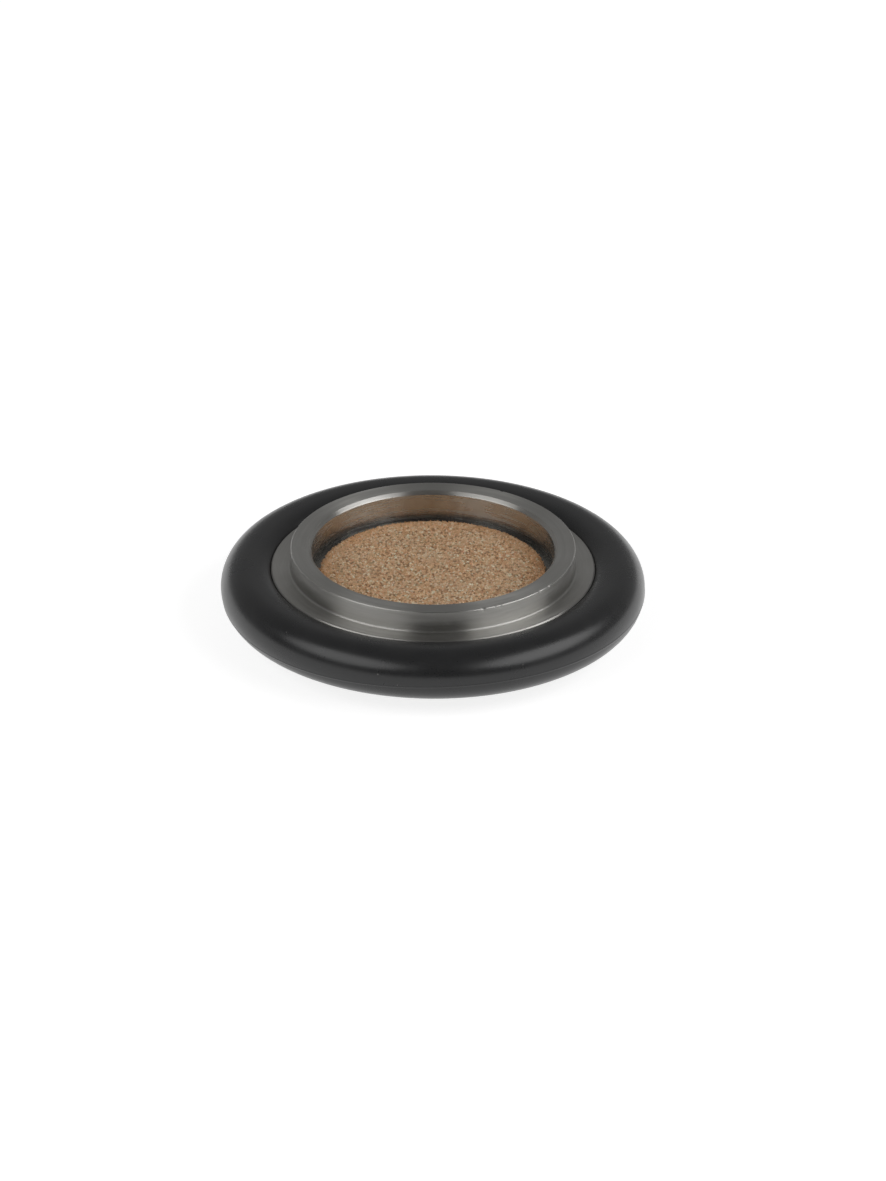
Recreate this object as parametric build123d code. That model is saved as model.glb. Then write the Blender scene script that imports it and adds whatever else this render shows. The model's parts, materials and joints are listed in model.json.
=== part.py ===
from build123d import *
from math import sqrt
import os

# Centering ring for an ISO-KF 25 clamp joint, with a porous bronze filter disc in its bore.
# Units are millimetres. The ring's axis is Z and its mid-plane is z = 0. Both ends are alike,
# so either one can face either flange.

# --- Centering ring, turned in one piece from stainless steel ---
RING_HEIGHT = 8.0            # end face to end face
PILOT_DIAMETER = 26.0        # outside of the two pilots, which enter the flanges' counterbores
PILOT_WALL = 1.9             # from the bore to the outside of a pilot
PILOT_EDGE_RADIUS = 0.2      # outer edge of each end face, rounded to enter the counterbore
BORE_CHAMFER = 0.3           # inner edge of each end face
WEB_WIDTH = 3.9              # the web between the pilots, whose two faces meet the flanges
WEB_STEP = 1.8               # how far the web stands out from the pilots
WEB_CHAMFER = 0.12           # outer edge of each web face
ROOT_FILLET = 0.2            # inside corner between a pilot and the web
RIB_WIDTH = 1.2              # rib round the middle of the bore, which grips the filter
RIB_STEP = 0.65              # how far the rib stands into the bore

# --- Seal: a moulded rubber ring of round section, stretched round the web ---
SEAL_SECTION = 5.0           # diameter of the rubber's section
GROOVE_CLEARANCE = 1.9       # how much larger the groove's radius is than the seal's

# --- Filter: a disc of sintered bronze balls, pressed into the rib ---
FILTER_THICKNESS = 3.1
FILTER_EDGE_RADIUS = 0.3     # the outermost balls leave both edges of the disc round
FILTER_CLEARANCE = 0.0       # between the disc and the rib: a press fit, drawn line to line

# Radii and half heights that follow from the sizes above.
end_z = RING_HEIGHT / 2
web_z = WEB_WIDTH / 2
rib_z = RIB_WIDTH / 2
pilot_r = PILOT_DIAMETER / 2
bore_r = pilot_r - PILOT_WALL
rib_r = bore_r - RIB_STEP
filter_r = rib_r - FILTER_CLEARANCE
web_r = pilot_r + WEB_STEP

# The groove is a shallow hollow between the web's two chamfers. Its arc is centred outside the
# web, and the seal's section is a smaller circle that touches it at the bottom.
seal_section_r = SEAL_SECTION / 2
groove_edge_z = web_z - WEB_CHAMFER
groove_arc_r = seal_section_r + GROOVE_CLEARANCE
groove_bottom_r = web_r + sqrt(groove_arc_r**2 - groove_edge_z**2) - groove_arc_r
seal_r = groove_bottom_r + seal_section_r


def centering_ring():
    """One turned piece: two pilots, a web with the seal's groove, and the rib in the bore."""
    with BuildPart() as ring:
        with BuildSketch(Plane.XZ):
            with BuildLine():
                # The section above mid-height, from the rib to the groove.
                end_face = Polyline(
                    (rib_r, rib_z),
                    (bore_r, rib_z),
                    (bore_r, end_z - BORE_CHAMFER),
                    (bore_r + BORE_CHAMFER, end_z),
                    (pilot_r - PILOT_EDGE_RADIUS, end_z),
                )
                edge = TangentArc(
                    end_face @ 1, (pilot_r, end_z - PILOT_EDGE_RADIUS), tangent=(1, 0)
                )
                wall = Line(edge @ 1, (pilot_r, web_z + ROOT_FILLET))
                root = TangentArc(
                    wall @ 1, (pilot_r + ROOT_FILLET, web_z), tangent=(0, -1)
                )
                Polyline(root @ 1, (web_r - WEB_CHAMFER, web_z), (web_r, groove_edge_z))
                # The sketch's own Y is the ring's axis, so this gives the lower half.
                mirror(about=Plane.XZ)
                Line((rib_r, rib_z), (rib_r, -rib_z))
                ThreePointArc(
                    (web_r, groove_edge_z), (groove_bottom_r, 0), (web_r, -groove_edge_z)
                )
            make_face()
        revolve(axis=Axis.Z)
    return ring.part


def seal_ring():
    """The rubber ring, touching the bottom of its groove all the way round."""
    return Torus(seal_r, seal_section_r)


def filter_disc():
    """The porous disc, at mid-height, standing out of the rib on both sides."""
    disc = Cylinder(filter_r, FILTER_THICKNESS)
    return fillet(disc.edges().filter_by(GeomType.CIRCLE), FILTER_EDGE_RADIUS)


PIECES = {
    "centering_ring": centering_ring,
    "o_ring": seal_ring,
    "filter_disc": filter_disc,
}

os.makedirs("parts", exist_ok=True)
for name, make in PIECES.items():
    piece = make()
    piece.label = name
    export_step(piece, f"parts/{name}.step")
    print(name, "volume", round(piece.volume, 2), "mm3")
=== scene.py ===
import json
import math
import random

import bpy
from mathutils import Matrix, Vector
from mathutils.geometry import delaunay_2d_cdt


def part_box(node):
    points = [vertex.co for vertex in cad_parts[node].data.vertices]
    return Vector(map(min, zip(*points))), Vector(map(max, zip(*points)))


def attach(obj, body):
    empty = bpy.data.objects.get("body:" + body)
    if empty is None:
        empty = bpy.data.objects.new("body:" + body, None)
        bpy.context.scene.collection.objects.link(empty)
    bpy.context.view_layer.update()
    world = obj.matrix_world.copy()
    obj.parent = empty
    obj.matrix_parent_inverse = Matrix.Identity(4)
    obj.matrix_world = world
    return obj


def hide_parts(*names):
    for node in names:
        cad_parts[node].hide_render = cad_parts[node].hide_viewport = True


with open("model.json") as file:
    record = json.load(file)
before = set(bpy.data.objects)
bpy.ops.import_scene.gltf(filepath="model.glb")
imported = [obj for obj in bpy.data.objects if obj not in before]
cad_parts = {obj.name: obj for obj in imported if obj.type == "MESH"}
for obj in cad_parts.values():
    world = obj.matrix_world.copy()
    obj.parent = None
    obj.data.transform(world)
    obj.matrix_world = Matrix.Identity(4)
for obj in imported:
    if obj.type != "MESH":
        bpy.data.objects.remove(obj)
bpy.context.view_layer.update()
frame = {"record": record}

# KF centering ring with a sintered bronze filter. The row frame has its origin at the ring's
# centre and +Z along the ring's axis. Lengths in this script are millimetres, and MM turns them
# into Blender's metres where a mesh, a light or the camera is made.
MM = 0.001


def cad_radius(node):
    """Outer radius of a round CAD node, in millimetres."""
    low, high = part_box(node)
    return (high[0] - low[0]) / 2 / MM


def cad_top(node):
    """Height of a CAD node's top above the ring's mid-plane, in millimetres."""
    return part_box(node)[1][2] / MM


def mount(name):
    """The record's mount of that name."""
    return next(m for m in frame["record"]["mounts"] if m["name"] == name)


# --- Sizes that come from the CAD model ---
END_Z = cad_top("centering_ring")
WEB_R = cad_radius("centering_ring")
PILOT_R = mount("pilot_top")["dims"]["r_mm"]
SEAL_SECTION_R = cad_top("o_ring")
SEAL_R = cad_radius("o_ring") - SEAL_SECTION_R
FILTER_R = cad_radius("filter_disc")
FILTER_Z = cad_top("filter_disc")
GROOVE_BOTTOM_R = SEAL_R - SEAL_SECTION_R

# --- Sizes inside the CAD model's boxes ---
BORE_R = 11.1
WEB_Z = 1.95
RIB_Z = 0.6
PILOT_EDGE = 0.06            # the broken edge, where the CAD model has its rounding
BORE_CHAMFER = 0.3
WEB_CHAMFER = 0.12
ROOT_FILLET = 0.2
FILTER_EDGE_R = 0.3

FLOOR_Z = -END_Z - 0.01      # a hair below, so the floor and the ring's end face stay apart


# ---------------------------------------------------------------- mesh helpers

EDGE_STEPS = 4               # straight pieces in a rounded edge
EDGE_SUPPORT = 0.01          # how far outside a rounded edge its extra points lie


def mesh_object(name, points, faces):
    """A smooth-shaded mesh object from points in millimetres."""
    mesh = bpy.data.meshes.new(name)
    mesh.from_pydata([Vector(p) * MM for p in points], [], faces)
    mesh.validate()
    mesh.shade_smooth()
    obj = bpy.data.objects.new(name, mesh)
    bpy.context.scene.collection.objects.link(obj)
    return obj


def arc_points(centre, radius, start, end, steps):
    """Points on an arc from angle start to end, in degrees, both ends included."""
    points = []
    for i in range(steps + 1):
        a = math.radians(start + (end - start) * i / steps)
        points.append(centre + Vector((math.cos(a), math.sin(a))) * radius)
    return points


def soften(corners):
    """A closed section with each corner rounded by its own radius.

    Corners are (radius from the axis, height, edge radius). Extra points just outside each
    rounded edge keep the flat faces flat when the mesh is shaded smooth. An edge radius of 0
    is a plain point.
    """
    outline = []
    count = len(corners)
    for i, (r, z, edge_r) in enumerate(corners):
        here = Vector((r, z))
        if edge_r == 0:
            outline.append(here)
            continue
        before = (Vector(corners[i - 1][:2]) - here).normalized()
        after = (Vector(corners[(i + 1) % count][:2]) - here).normalized()
        half = before.angle(after) / 2
        reach = edge_r / math.tan(half)
        centre = here + (before + after).normalized() * (edge_r / math.sin(half))
        start = here + before * reach
        end = here + after * reach
        outline.append(start + before * EDGE_SUPPORT)
        for step in range(EDGE_STEPS + 1):
            ray = (start - centre).slerp(end - centre, step / EDGE_STEPS).normalized()
            outline.append(centre + ray * edge_r)
        outline.append(end + after * EDGE_SUPPORT)
    return outline


def turned_faces(segments, n):
    """Faces between a closed section of n points and its next copy, all round the axis."""
    faces = []
    for i in range(segments):
        j = (i + 1) % segments
        for k in range(n):
            m = (k + 1) % n
            faces.append((i * n + k, j * n + k, j * n + m, i * n + m))
    return faces


def bearing(azimuth, radius, z):
    """A point at an azimuth in degrees, measured from the front (-Y) towards the right (+X)."""
    a = math.radians(azimuth)
    return Vector((radius * math.sin(a), -radius * math.cos(a), z))


# ---------------------------------------------------------------- centering ring

EDGE = 0.02                  # radius of the ring's finished edges
RING_SEGMENTS = 640
GROOVE_STEPS = 18

# Small knocks along the upper pilot's outer edge: azimuth, how far each spreads, depth.
NICKS = [
    (20.8, 0.22, 0.10),
    (25.8, 0.18, 0.08),
    (28.2, 0.22, 0.10),
    (48.6, 0.22, 0.10),
    (54.0, 0.18, 0.08),
    (151.0, 0.20, 0.08),
]
NICK_INSET = 0.08            # a knock's centre lies this far inside both faces of the edge
NICK_REACH = 0.32            # no knock reaches this far from the edge
NICK_SUPPORT = 0.10          # a second row of points beyond it keeps the wall below straight


def ring_dent(point):
    """Presses the nicks into the upper pilot's outer edge."""
    if point.z < END_Z - NICK_REACH or point.xy.length < PILOT_R - NICK_REACH:
        return point
    for azimuth, spread, depth in NICKS:
        centre = bearing(azimuth, PILOT_R - NICK_INSET, END_Z - NICK_INSET)
        away = (point - centre).length / spread
        if away < 1:
            inward = Vector((-point.x, -point.y, -PILOT_R)).normalized()
            point = point + inward * depth * (1 - away * away) ** 2
    return point


def make_ring():
    """The turned ring: one closed section, carried round the axis."""
    upper = [
        (FILTER_R, RIB_Z, EDGE),
        (BORE_R, RIB_Z, EDGE),
        (BORE_R, END_Z - BORE_CHAMFER, EDGE),
        (BORE_R + BORE_CHAMFER, END_Z, EDGE),
        (PILOT_R - NICK_REACH - NICK_SUPPORT, END_Z, 0),
        (PILOT_R - NICK_REACH, END_Z, 0),
        (PILOT_R - PILOT_EDGE, END_Z, EDGE),
        (PILOT_R, END_Z - PILOT_EDGE, EDGE),
        (PILOT_R, END_Z - NICK_REACH, 0),
        (PILOT_R, END_Z - NICK_REACH - NICK_SUPPORT, 0),
        (PILOT_R, WEB_Z, ROOT_FILLET),
        (WEB_R - WEB_CHAMFER, WEB_Z, EDGE),
        (WEB_R, WEB_Z - WEB_CHAMFER, EDGE),
    ]
    groove_r = groove_curve()
    groove_centre = Vector((GROOVE_BOTTOM_R + groove_r, 0))
    sweep = math.degrees(math.asin((WEB_Z - WEB_CHAMFER) / groove_r))
    groove = arc_points(groove_centre, groove_r, 180 - sweep, 180 + sweep, GROOVE_STEPS)[1:-1]
    lower = [(r, -z, edge_r) for r, z, edge_r in reversed(upper)]
    groove_corners = [(p.x, p.y, 0) for p in groove]
    outline = soften(upper + groove_corners + lower)
    points = []
    for i in range(RING_SEGMENTS):
        a = 2 * math.pi * i / RING_SEGMENTS
        for r, z in outline:
            points.append(ring_dent(Vector((r * math.cos(a), r * math.sin(a), z))))
    return mesh_object("centering_ring_turned", points, turned_faces(RING_SEGMENTS, len(outline)))


# ---------------------------------------------------------------- rubber seal

SEAL_SEGMENTS = 512
SIDE_STEPS = 28              # steps round each half of the section, between the parting lines
FLASH_HEIGHT = 0.035         # how far the mould's parting line stands out
FLASH_WIDTH = 0.10
SEAL_FULLNESS = 2.9          # 2 is a round section; more fills the corner by the web's edge
GROOVE_GAP = 0.004           # the seal stays this far off the groove's wall


def flash_angle(azimuth):
    """Where the outer parting line lies round the section, in degrees: the seal is twisted."""
    a = math.radians(azimuth)
    return -14 + 9 * math.sin(a + 0.4) + 3 * math.sin(3 * a + 1.1)


def groove_curve():
    """Radius of the groove's arc, through the web's two edges and the groove's bottom."""
    edge_z = WEB_Z - WEB_CHAMFER
    depth = WEB_R - GROOVE_BOTTOM_R
    return (edge_z ** 2 + depth ** 2) / (2 * depth)


def seated(x, z):
    """A point of the seal's inner half, pressed fuller against the groove and the web's edges.

    x runs outwards from the middle of the round section.
    """
    if x >= 0:
        return x, z
    turn = math.atan2(abs(z), -x)
    power = math.cos(turn) ** SEAL_FULLNESS + math.sin(turn) ** SEAL_FULLNESS
    full = math.hypot(x, z) * power ** (-1 / SEAL_FULLNESS)
    x = -full * math.cos(turn)
    z = math.copysign(full * math.sin(turn), z)
    if abs(z) < WEB_Z:
        groove_r = groove_curve()
        wall = GROOVE_BOTTOM_R + groove_r - math.sqrt(groove_r ** 2 - z ** 2)
        x = max(x, wall + GROOVE_GAP - SEAL_R)
    return x, z


def make_seal():
    """The rubber ring, with a fine parting line all round its outside and its inside."""
    # Angles round the section, measured from the outer parting line, closer together near it.
    flash_step = math.degrees(FLASH_WIDTH / SEAL_SECTION_R)
    near = [-3, -2, -1, -0.5, 0, 0.5, 1, 2, 3]
    angles = []
    for side in (0, 180):
        angles += [side + flash_step * k for k in near]
        gap_start = side + flash_step * near[-1]
        gap = 180 - 2 * flash_step * near[-1]
        angles += [gap_start + gap * k / SIDE_STEPS for k in range(1, SIDE_STEPS)]
    points = []
    for i in range(SEAL_SEGMENTS):
        azimuth = 360 * i / SEAL_SEGMENTS
        twist = flash_angle(azimuth)
        for angle in angles:
            off = abs((angle + 90) % 180 - 90) / flash_step
            proud = FLASH_HEIGHT * max(0.0, 1 - off)
            section_r = SEAL_SECTION_R - FLASH_HEIGHT + proud
            phi = math.radians(angle + twist)
            x, z = seated(section_r * math.cos(phi), section_r * math.sin(phi))
            points.append(bearing(azimuth, SEAL_R + x, z))
    return mesh_object("o_ring_moulded", points, turned_faces(SEAL_SEGMENTS, len(angles)))


# ---------------------------------------------------------------- sintered filter

BEAD_SEED = 40
BEAD_PITCH = 0.20            # spacing of the bronze balls
BEAD_SHAKE = 0.34            # how far a ball strays from its place, in pitches
BEAD_MARGIN = 0.55           # the balls stay this far inside the rim of the mesh, in pitches
BEAD_R = 0.105
BEAD_SPREAD = 0.020          # how unevenly deep the balls lie
SUNK_SHARE = 0.14            # this share of them lies deeper still
FILTER_CLEAR = 0.01          # the hidden side stays this far inside the rib
FILTER_OVERLAP = 0.04        # the balls go on this far below the rib's edge
EDGE_BELT = 0.3              # the balls this near the disc's edge stand out unevenly
RIM_POINTS = 360


def filter_point(s, angle, height):
    """A point on the disc's upper half: s runs from the centre, over the edge, down the side.

    height is measured outwards from the surface.
    """
    flat = FILTER_R - FILTER_EDGE_R
    bend = FILTER_EDGE_R * math.pi / 2
    if s < flat:
        r, z = s, FILTER_Z + height
    elif s < flat + bend:
        turn = (s - flat) / FILTER_EDGE_R
        r = flat + (FILTER_EDGE_R + height) * math.sin(turn)
        z = FILTER_Z - FILTER_EDGE_R + (FILTER_EDGE_R + height) * math.cos(turn)
    else:
        r = FILTER_R + height
        z = FILTER_Z - FILTER_EDGE_R - (s - flat - bend)
    return Vector((r * math.cos(angle), r * math.sin(angle), z))


def scatter_beads(rng, reach):
    """Bead centres in a disc of that radius: a hexagonal packing, each shaken off its place."""
    row = BEAD_PITCH * math.sqrt(3) / 2
    count = int(reach / row) + 1
    beads = []
    for j in range(-count, count + 1):
        for i in range(-count - count // 2, count + count // 2 + 1):
            p = Vector(((i + (j % 2) / 2) * BEAD_PITCH, j * row))
            p += Vector((rng.uniform(-1, 1), rng.uniform(-1, 1))) * BEAD_PITCH * BEAD_SHAKE
            if p.length < reach - BEAD_PITCH * BEAD_MARGIN:
                beads.append(p)
    return beads


def bead_surface(rng, reach):
    """The upper half's points as (place, height, tone), its triangles and its rim points.

    Each bead is a dome: a top point with a hollow wherever three beads meet. Points are the
    tops, then the rim in order of angle, then the hollows.
    """
    beads = scatter_beads(rng, reach)
    rim = []
    for i in range(RIM_POINTS):
        a = 2 * math.pi * i / RIM_POINTS
        rim.append(Vector((math.cos(a), math.sin(a))) * reach)
    flat, _, triangles, *_ = delaunay_2d_cdt(beads + rim, [], [], 0, 1e-6)
    bead_count = len(beads)
    edge_at = FILTER_R - FILTER_EDGE_R + FILTER_EDGE_R * math.pi / 4

    points = []
    for p in flat[:bead_count]:
        depth = abs(rng.gauss(0, BEAD_SPREAD))
        if rng.random() < SUNK_SHARE:
            depth += rng.uniform(0.02, 0.08)
        if abs(p.length - edge_at) < EDGE_BELT:
            depth += rng.uniform(-0.07, 0.09)
        points.append((p, -depth, rng.random()))
    points += [(p, -FILTER_CLEAR, 0.5) for p in flat[bead_count:]]

    hollow = {}
    sides_of_edge = {}
    for t, tri in enumerate(triangles):
        centre = sum((flat[v] for v in tri), Vector((0, 0))) / 3
        heights = [points[v][1] for v in tri]
        hollow[t] = len(points)
        points.append((centre, min(heights) - BEAD_R * rng.uniform(0.6, 1.0), 0.0))
        for k, v in enumerate(tri):
            edge = tuple(sorted((v, tri[(k + 1) % 3])))
            sides_of_edge.setdefault(edge, []).append(hollow[t])

    faces = []
    for (a, b), sides in sides_of_edge.items():
        if len(sides) == 1:
            faces.append((a, b, sides[0]))
        else:
            faces.append((a, *sides))
            faces.append((b, *sides))

    def facing_up(face):
        p, q, r = (points[i][0] for i in face)
        return (q - p).cross(r - p) > 0

    faces = [f if facing_up(f) else f[::-1] for f in faces]
    rim_ids = list(range(bead_count, bead_count + len(rim)))
    return points, faces, rim_ids


def make_filter():
    """The disc as one closed mesh: beads on both faces and edges, and a plain hidden side."""
    flat = FILTER_R - FILTER_EDGE_R
    side = FILTER_Z - FILTER_EDGE_R - RIB_Z + FILTER_OVERLAP
    reach = flat + FILTER_EDGE_R * math.pi / 2 + side
    points, faces, tones, rims = [], [], [], []
    hollows = set()
    for sign in (1, -1):
        rng = random.Random(BEAD_SEED + sign)
        half, half_faces, rim_ids = bead_surface(rng, reach)
        base = len(points)
        for p, height, tone in half:
            spot = filter_point(p.length, math.atan2(p.y, p.x), height)
            points.append(Vector((spot.x, spot.y, spot.z * sign)))
            tones.append(tone)
        for face in half_faces:
            face = face if sign > 0 else face[::-1]
            faces.append(tuple(base + v for v in face))
        hollows.update(range(base + rim_ids[-1] + 1, len(points)))
        rims.append([base + v for v in rim_ids])
    upper, lower = rims
    for i in range(RIM_POINTS):
        j = (i + 1) % RIM_POINTS
        faces.append((upper[i], lower[i], lower[j], upper[j]))
    obj = mesh_object("filter_disc_sintered", points, faces)
    # Each ball is shaded by itself, so the edges along the bottoms between them are sharp.
    mesh = obj.data
    sharp = mesh.attributes.new("sharp_edge", "BOOLEAN", "EDGE")
    sharp.data.foreach_set("value", [set(e.vertices) <= hollows for e in mesh.edges])
    tone = mesh.attributes.new("bead_tone", "FLOAT", "FACE")
    tone.data.foreach_set("value", [max(tones[v] for v in f.vertices) for f in mesh.polygons])
    hollow = mesh.attributes.new("hollow", "FLOAT", "POINT")
    hollow.data.foreach_set("value", [float(v in hollows) for v in range(len(points))])
    return obj


# ---------------------------------------------------------------- materials

class Nodes:
    """A new node material, with short calls for adding nodes."""

    def __init__(self, name):
        self.material = bpy.data.materials.new(name)
        self.material.use_nodes = True
        self.tree = self.material.node_tree
        self.shader = self.tree.nodes["Principled BSDF"]

    def add(self, kind, settings=None, **inputs):
        """Adds a node; each input is a value or another node's output socket."""
        node = self.tree.nodes.new(kind)
        for key, value in (settings or {}).items():
            setattr(node, key, value)
        for key, value in inputs.items():
            self.set(node, key.replace("_", " "), value)
        return node

    def set(self, node, key, value):
        """Sets an input, named or numbered, to a value or links it to an output socket."""
        socket = node.inputs[int(key) if key.isdigit() else key]
        if isinstance(value, bpy.types.NodeSocket):
            self.tree.links.new(value, socket)
        else:
            socket.default_value = value

    def math(self, operation, a, b=0.0):
        node = self.add("ShaderNodeMath", {"operation": operation})
        self.set(node, "0", a)
        self.set(node, "1", b)
        return node.outputs[0]

    def remap(self, value, low, high, to_low, to_high):
        """Maps low..high to to_low..to_high, held at both ends."""
        node = self.add("ShaderNodeMapRange")
        for key, item in zip(("Value", "From Min", "From Max", "To Min", "To Max"),
                             (value, low, high, to_low, to_high)):
            self.set(node, key, item)
        return node.outputs[0]

    def noise(self, vector, scale, detail, roughness):
        node = self.add("ShaderNodeTexNoise", Vector=vector, Scale=scale, Detail=detail,
                        Roughness=roughness)
        return node.outputs["Fac"]

    def mix(self, factor, a, b):
        node = self.add("ShaderNodeMix", {"data_type": "RGBA"})
        self.tree.links.new(factor, node.inputs[0])
        for socket, value in ((node.inputs[6], a), (node.inputs[7], b)):
            if isinstance(value, bpy.types.NodeSocket):
                self.tree.links.new(value, socket)
            else:
                socket.default_value = value
        return node.outputs[2]

    def bump(self, height, strength, distance_mm):
        node = self.add("ShaderNodeBump", Height=height, Strength=strength,
                        Distance=distance_mm * MM)
        return node.outputs[0]

    def length(self, x, y):
        """The distance from the axis."""
        squares = self.math("ADD", self.math("MULTIPLY", x, x), self.math("MULTIPLY", y, y))
        return self.math("SQRT", squares)

    def position_mm(self):
        """The point in the object's own space, in millimetres, as (vector, x, y, z)."""
        coords = self.add("ShaderNodeTexCoord").outputs["Object"]
        scale = self.add("ShaderNodeVectorMath", {"operation": "SCALE"}, Vector=coords)
        scale.inputs["Scale"].default_value = 1 / MM
        split = self.add("ShaderNodeSeparateXYZ", Vector=scale.outputs[0])
        return scale.outputs[0], *split.outputs


def rgb(r, g, b):
    """A colour with full alpha, as sockets and ramps take it."""
    return (r, g, b, 1.0)


def steel_material():
    """Turned stainless steel: fine marks run round the axis, and the bore is smoother."""
    m = Nodes("turned_steel")
    place, x, y, z = m.position_mm()
    radius = m.length(x, y)
    angle = m.math("ARCTAN2", y, x)
    # Stretched coordinates: across the marks in millimetres, along them very slowly.
    lay = m.add("ShaderNodeCombineXYZ", X=radius, Y=m.math("MULTIPLY", angle, 0.8), Z=z)
    marks = lay.outputs[0]
    coarse = m.noise(marks, 2.6, 3.0, 0.6)
    fine = m.noise(marks, 14.0, 2.0, 0.6)
    patches = m.noise(place, 0.35, 3.0, 0.55)

    in_bore = m.remap(radius, BORE_R + 0.02, BORE_R + 0.1, 1.0, 0.0)
    roughness = m.math("ADD", m.remap(coarse, 0.3, 0.7, 0.30, 0.42),
                       m.remap(patches, 0.35, 0.7, -0.02, 0.03))
    roughness = m.math("SUBTRACT", roughness, m.math("MULTIPLY", in_bore, 0.10))
    m.set(m.shader, "Roughness", roughness)

    tone = m.mix(m.remap(coarse, 0.3, 0.72, 0.0, 1.0), rgb(0.41, 0.403, 0.383),
                 rgb(0.51, 0.502, 0.48))
    tone = m.mix(m.remap(patches, 0.4, 0.75, 0.0, 0.35), tone, rgb(0.42, 0.41, 0.38))
    m.set(m.shader, "Base Color", tone)
    m.set(m.shader, "Metallic", 1.0)

    relief = m.math("ADD", m.math("MULTIPLY", coarse, 0.6), m.math("MULTIPLY", fine, 0.4))
    outside = m.math("SUBTRACT", 1.0, m.math("MULTIPLY", in_bore, 0.8))
    m.set(m.shader, "Normal", m.bump(m.math("MULTIPLY", relief, outside), 0.25, 0.02))
    m.set(m.shader, "Anisotropic", 0.95)
    m.set(m.shader, "Anisotropic Rotation", 0.25)
    tangent = m.add("ShaderNodeTangent", {"direction_type": "RADIAL", "axis": "Z"})
    m.set(m.shader, "Tangent", tangent.outputs[0])
    return m.material


def rubber_material():
    """Black fluoro-rubber: semi-matt moulded skin, slightly cloudy, with a few dust specks."""
    m = Nodes("black_rubber")
    place, *_ = m.position_mm()
    cloud = m.noise(place, 0.25, 4.0, 0.6)
    grain = m.noise(place, 9.0, 2.0, 0.5)
    specks = m.noise(place, 2.6, 1.0, 0.4)
    dust = m.remap(specks, 0.80, 0.84, 0.0, 1.0)
    tone = m.mix(m.remap(cloud, 0.3, 0.7, 0.0, 1.0), rgb(0.0135, 0.0138, 0.0145),
                 rgb(0.0195, 0.0195, 0.020))
    tone = m.mix(dust, tone, rgb(0.14, 0.135, 0.13))
    m.set(m.shader, "Base Color", tone)
    m.set(m.shader, "Roughness", m.remap(cloud, 0.3, 0.7, 0.25, 0.32))
    m.set(m.shader, "Normal", m.bump(grain, 0.25, 0.01))
    return m.material


def bronze_material():
    """Sintered bronze: every ball has its own tone, and painted shade darkens the hollows between
    the balls.
    """
    m = Nodes("sintered_bronze")
    place, x, y, z = m.position_mm()
    tone = m.add("ShaderNodeAttribute", {"attribute_name": "bead_tone"}).outputs["Fac"]
    hollow = m.add("ShaderNodeAttribute", {"attribute_name": "hollow"}).outputs["Fac"]
    cloud = m.noise(place, 0.45, 3.0, 0.55)
    fine = m.noise(place, 16.0, 2.0, 0.6)
    radius = m.length(x, y)
    shade = m.add("ShaderNodeValToRGB", Fac=tone)
    ramp = shade.color_ramp
    ramp.elements[0].color = rgb(0.27, 0.135, 0.067)
    ramp.elements[1].color = rgb(1.0, 0.92, 0.70)
    for at, colour in ((0.25, (0.68, 0.395, 0.203)), (0.8, (0.92, 0.625, 0.372))):
        ramp.elements.new(at).color = rgb(*colour)
    # A second random value per ball makes some redder and some greener.
    hue = m.math("FRACT", m.math("MULTIPLY", tone, 7.3))
    ball = m.mix(m.remap(hue, 0.75, 1.0, 0.0, 0.5), shade.outputs["Color"], rgb(0.72, 0.33, 0.20))
    ball = m.mix(m.remap(hue, 0.25, 0.0, 0.0, 0.4), ball, rgb(0.52, 0.50, 0.30))
    rim = m.remap(radius, FILTER_R - 2.2, FILTER_R - 0.2, 0.0, 0.5)
    warm = m.mix(rim, ball, rgb(0.74, 0.38, 0.17))
    colour = m.mix(m.remap(cloud, 0.42, 0.7, 0.0, 0.25), warm, rgb(0.68, 0.54, 0.38))
    # Painted shade: the hollows between the balls are darkened in the colour.
    colour = m.mix(m.remap(hollow, 0.35, 1.0, 0.0, 0.35), colour, rgb(0.16, 0.08, 0.04))
    # Painted shade: the side, down in the slot, is painted dark grey where it lies in shade.
    height = m.math("ABSOLUTE", z)
    side = m.remap(height, FILTER_Z - 0.34, FILTER_Z - 0.2, 0.95, 0.0)
    m.set(m.shader, "Base Color", m.mix(side, colour, rgb(0.19, 0.19, 0.19)))
    m.set(m.shader, "Metallic", 0.35)
    m.set(m.shader, "Roughness", m.remap(fine, 0.3, 0.7, 0.36, 0.55))
    return m.material


FLOOR_GLOW = 0.80            # with the lamps' light on it, this makes the floor white


def floor_material():
    """Pale floor: white to the camera and in reflections, and it keeps the object's shadow."""
    m = Nodes("white_floor")
    m.set(m.shader, "Base Color", rgb(0.48, 0.48, 0.48))
    m.set(m.shader, "Roughness", 0.6)
    m.set(m.shader, "Specular IOR Level", 0.2)
    rays = m.add("ShaderNodeLightPath")
    seen = m.math("MAXIMUM", rays.outputs["Is Camera Ray"], rays.outputs["Is Glossy Ray"])
    seen = m.math("MAXIMUM", seen, rays.outputs["Is Transmission Ray"])
    m.set(m.shader, "Emission Color", rgb(1, 1, 1))
    m.set(m.shader, "Emission Strength", m.math("MULTIPLY", seen, FLOOR_GLOW))
    return m.material


# ---------------------------------------------------------------- stage, light and camera

FLOOR_RADIUS = 1500
FLOOR_SIDES = 72


def make_floor():
    """A round floor under the ring. It is part of the stage and not of the object."""
    rim = [bearing(i * 360 / FLOOR_SIDES, FLOOR_RADIUS, FLOOR_Z) for i in range(FLOOR_SIDES)]
    floor = mesh_object("floor", rim, [tuple(range(FLOOR_SIDES))])
    floor.data.materials.append(floor_material())


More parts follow.
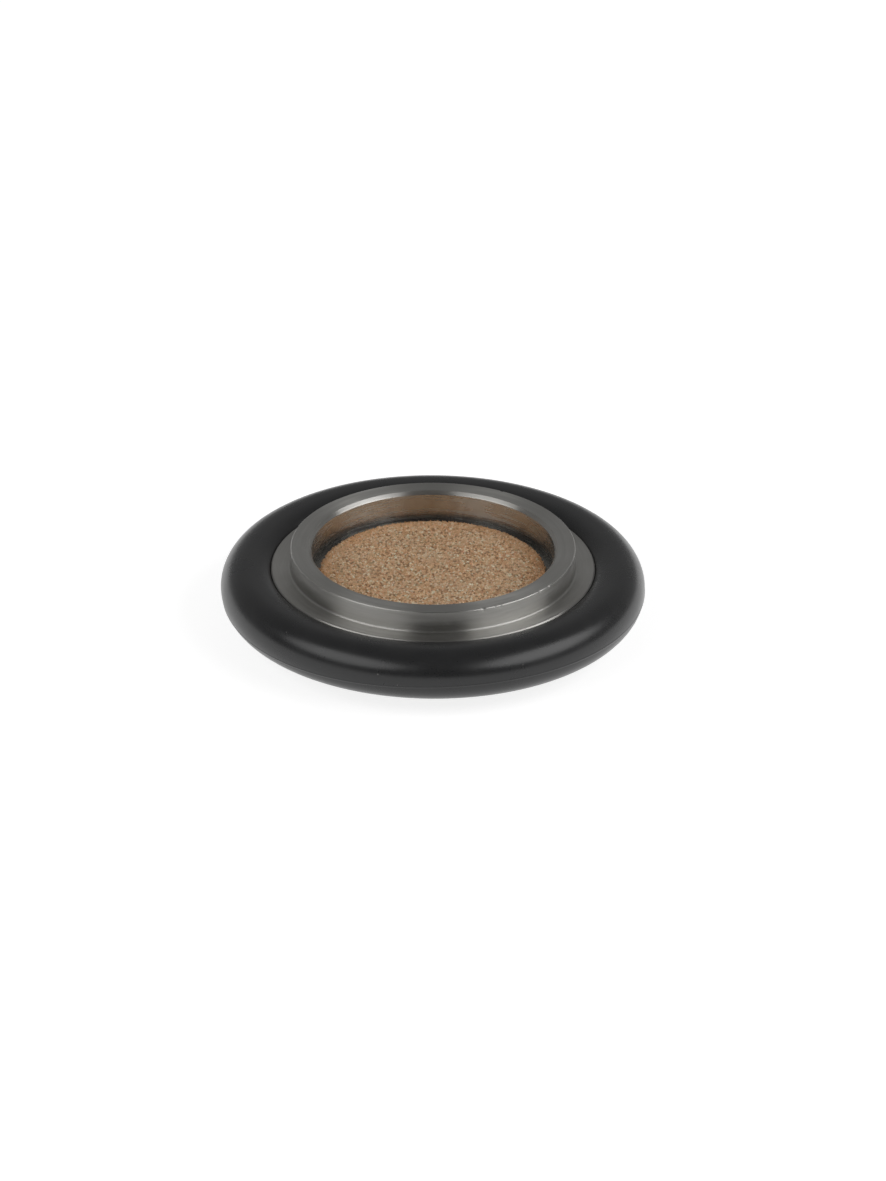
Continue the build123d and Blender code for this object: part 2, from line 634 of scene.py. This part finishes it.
def soft_box(name, azimuth, elevation, distance, width, height, radiance):
    """An oval soft box aimed at the ring, of even brightness. Sizes in millimetres."""
    light = bpy.data.lights.new(name, "AREA")
    light.shape = "ELLIPSE"
    light.size = width * MM
    light.size_y = height * MM
    area = math.pi / 4 * width * height * MM * MM
    light.energy = radiance * math.pi * area    # a flat lamp shines pi times its radiance
    obj = bpy.data.objects.new(name, light)
    e = math.radians(elevation)
    place = bearing(azimuth, math.cos(e), math.sin(e)) * distance * MM
    obj.location = place
    obj.rotation_euler = (-place).to_track_quat("-Z", "Y").to_euler()
    bpy.context.scene.collection.objects.link(obj)


def make_world():
    """Soft grey surroundings: pale at the horizon, darker above it and darkest in front."""
    world = bpy.data.worlds.new("studio")
    bpy.context.scene.world = world
    world.use_nodes = True
    tree = world.node_tree
    background = tree.nodes["Background"]
    coords = tree.nodes.new("ShaderNodeTexCoord")
    split = tree.nodes.new("ShaderNodeSeparateXYZ")
    tree.links.new(coords.outputs["Generated"], split.inputs[0])
    ramp = tree.nodes.new("ShaderNodeValToRGB")
    tree.links.new(split.outputs["Z"], ramp.inputs[0])
    # Grey by height, from the horizon at 0 to straight up at 1.
    stops = ramp.color_ramp.elements
    stops[0].color = rgb(1, 1, 1)
    stops[1].position = 0.05
    stops[1].color = rgb(0.18, 0.18, 0.18)
    for height, grey in ((0.45, 0.17), (1.0, 0.14)):
        stops.new(height).color = rgb(grey, grey, grey)
    tree.links.new(ramp.outputs["Color"], background.inputs["Color"])
    depth = tree.nodes.new("ShaderNodeMapRange")
    tree.links.new(split.outputs["Y"], depth.inputs["Value"])
    for key, value in (("From Min", -0.9), ("From Max", 0.9), ("To Min", 0.65), ("To Max", 1.6)):
        depth.inputs[key].default_value = value
    tree.links.new(depth.outputs[0], background.inputs["Strength"])


CAMERA_ELEVATION = 27.31
CAMERA_DISTANCE = 2000.0
CAMERA_ROLL = 0.33
SENSOR_WIDTH = 36.0
VIEW_HEIGHT = 107.8736       # what the picture's height spans at the ring's centre
RIGHT_OF_CENTRE = -0.927     # where the ring's centre lies in the picture
ABOVE_CENTRE = 0.400


def make_camera():
    """A far camera with a long lens, because the photo shows almost no perspective."""
    data = bpy.data.cameras.new("camera")
    data.sensor_width = SENSOR_WIDTH
    data.lens = SENSOR_WIDTH * CAMERA_DISTANCE / VIEW_HEIGHT
    data.clip_start = 0.1
    data.clip_end = 20.0
    camera = bpy.data.objects.new("camera", data)
    bpy.context.scene.collection.objects.link(camera)
    e = math.radians(CAMERA_ELEVATION)
    back = bearing(0, math.cos(e), math.sin(e))
    roll = Matrix.Rotation(math.radians(CAMERA_ROLL), 3, "Z").to_quaternion()
    aim = (-back).to_track_quat("-Z", "Y") @ roll
    camera.rotation_euler = aim.to_euler()
    side = aim @ Vector((-RIGHT_OF_CENTRE, -ABOVE_CENTRE, 0))
    camera.location = (back * CAMERA_DISTANCE + side) * MM
    bpy.context.scene.camera = camera


# ---------------------------------------------------------------- the scene

def finish_piece(piece, node, material):
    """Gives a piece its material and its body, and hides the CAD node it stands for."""
    piece.data.materials.append(material)
    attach(piece, "root")
    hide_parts(node)


bpy.context.scene.view_settings.view_transform = "Standard"
make_camera()
make_world()
make_floor()
soft_box("box_right", 68, 38, 520, 650, 330, 2.6)
soft_box("box_left", -54, 38, 520, 590, 330, 2.0)

finish_piece(make_ring(), "centering_ring", steel_material())
finish_piece(make_seal(), "o_ring", rubber_material())
finish_piece(make_filter(), "filter_disc", bronze_material())
